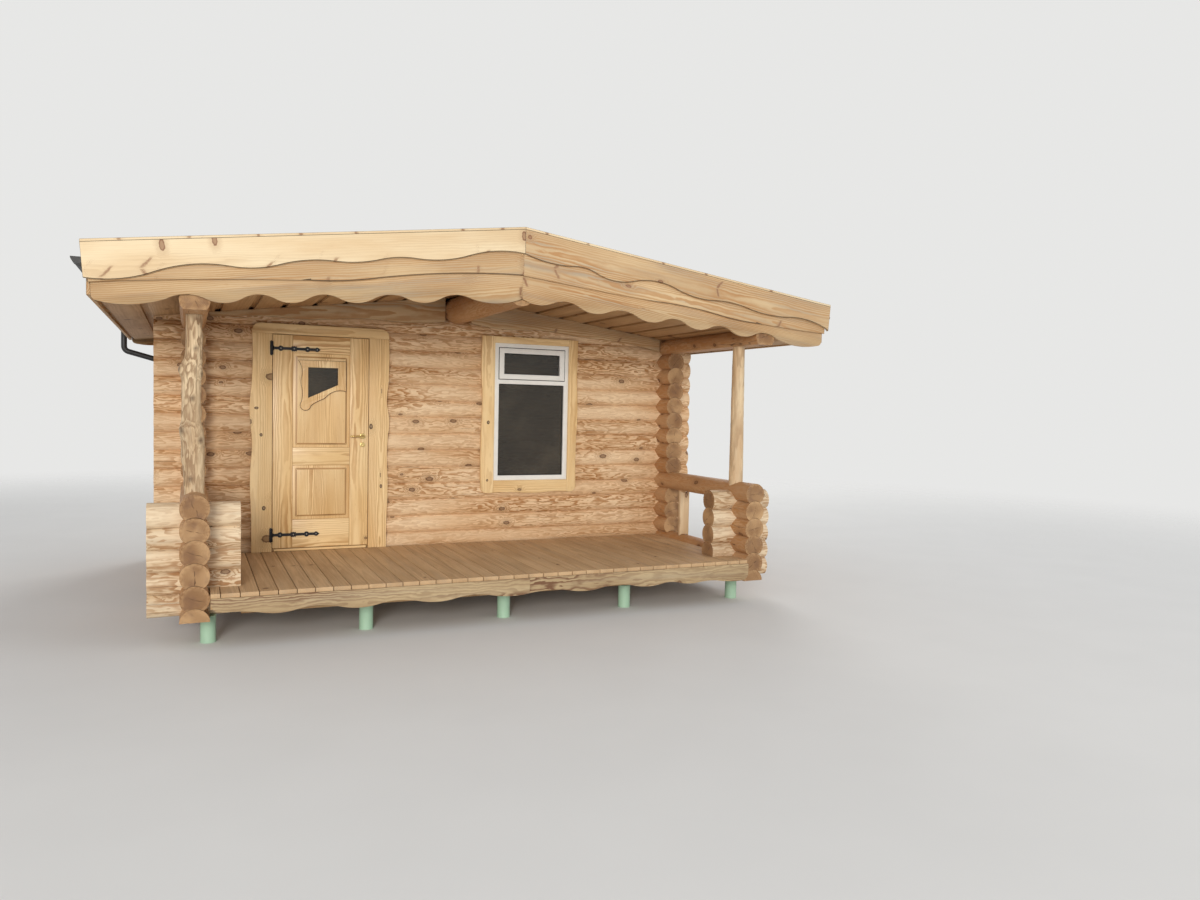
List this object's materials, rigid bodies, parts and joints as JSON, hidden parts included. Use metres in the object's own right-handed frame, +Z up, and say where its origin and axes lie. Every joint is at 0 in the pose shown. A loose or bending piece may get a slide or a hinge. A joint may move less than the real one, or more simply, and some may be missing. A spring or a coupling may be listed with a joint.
{
  "type": "log sauna cabin",
  "caption": "Low log cabin with saddle-notched corners, a low gable roof over an open porch, one hinged panel door and one white window, on short round piers.",
  "frame": {"origin": "on the ground plane under the pier feet, under the ridge, half way along the roof", "axes": "+Z up, +X to the right seen from the front, -Y out of the front over the porch"},
  "size_m": [6.165, 4.8, 3.1635],
  "materials": {
    "log_wood": "oiled round pine",
    "post_wood": "peeled pine",
    "frame_wood": "sawn softwood",
    "deck_wood": "planed boards",
    "soffit_wood": "wide boards",
    "pale_wood": "planed pale pine",
    "trim_wood": "live-edge pine",
    "door_wood": "varnished pine",
    "roof_felt": "mineral felt",
    "black_plastic": "satin",
    "black_iron": "black paint",
    "brass": "polished",
    "white_plastic": "satin",
    "glazing": "clear",
    "pier_green": "matt tube"
  },
  "bodies": {
    "cabin": {"back_wall_logs": "log_wood", "barge_laths": "pale_wood", "barge_middle_left": "pale_wood", "barge_middle_right": "pale_wood", "barge_scallop_left": "pale_wood", "barge_scallop_right": "pale_wood", "barge_top_left": "pale_wood", "barge_top_right": "pale_wood", "cabin_floor": "deck_wood", "door_frame": "trim_wood", "door_threshold": "trim_wood", "door_trim": "trim_wood", "downpipes": "black_plastic", "eave_boards": "pale_wood", "eave_purlins": "log_wood", "front_skirt": "pale_wood", "front_wall_logs": "log_wood", "gable_planks": "trim_wood", "gutters": "black_plastic", "hinge_plates": "black_iron", "joists": "frame_wood", "left_post": "post_wood", "left_wall_logs": "log_wood", "piers": "pier_green", "porch_corner_logs": "log_wood", "porch_deck": "deck_wood", "railing_boards": "post_wood", "ridge_purlin": "log_wood", "right_post": "post_wood", "right_wall_logs": "log_wood", "roof_core_left": "frame_wood", "roof_core_right": "frame_wood", "roof_covering_left": "roof_felt", "roof_covering_right": "roof_felt", "sill_logs": "log_wood", "soffit_left": "soffit_wood", "soffit_right": "soffit_wood", "vent_sash": "white_plastic", "window_frame": "white_plastic", "window_glass": "glazing", "window_lining": "trim_wood", "window_trim": "trim_wood"},
    "door": {"door_leaf": "door_wood", "door_panels": "door_wood", "door_glass": "glazing", "door_straps": "black_iron", "lever_roses": "brass", "door_surround": "door_wood"},
    "lever": {"door_lever": "brass"}
  },
  "joints": [
    {"name": "door_hinge", "type": "hinge", "parent": "cabin", "child": "door", "pos_m": [-1.7055, -0.5465, 1.4], "axis": [0, 0, -1], "range_deg": [0, 110]},
    {"name": "lever_turn", "type": "hinge", "parent": "door", "child": "lever", "pos_m": [-0.91, -0.5175, 1.454], "axis": [0, -1, 0], "range_deg": [0, 40]}
  ]
}
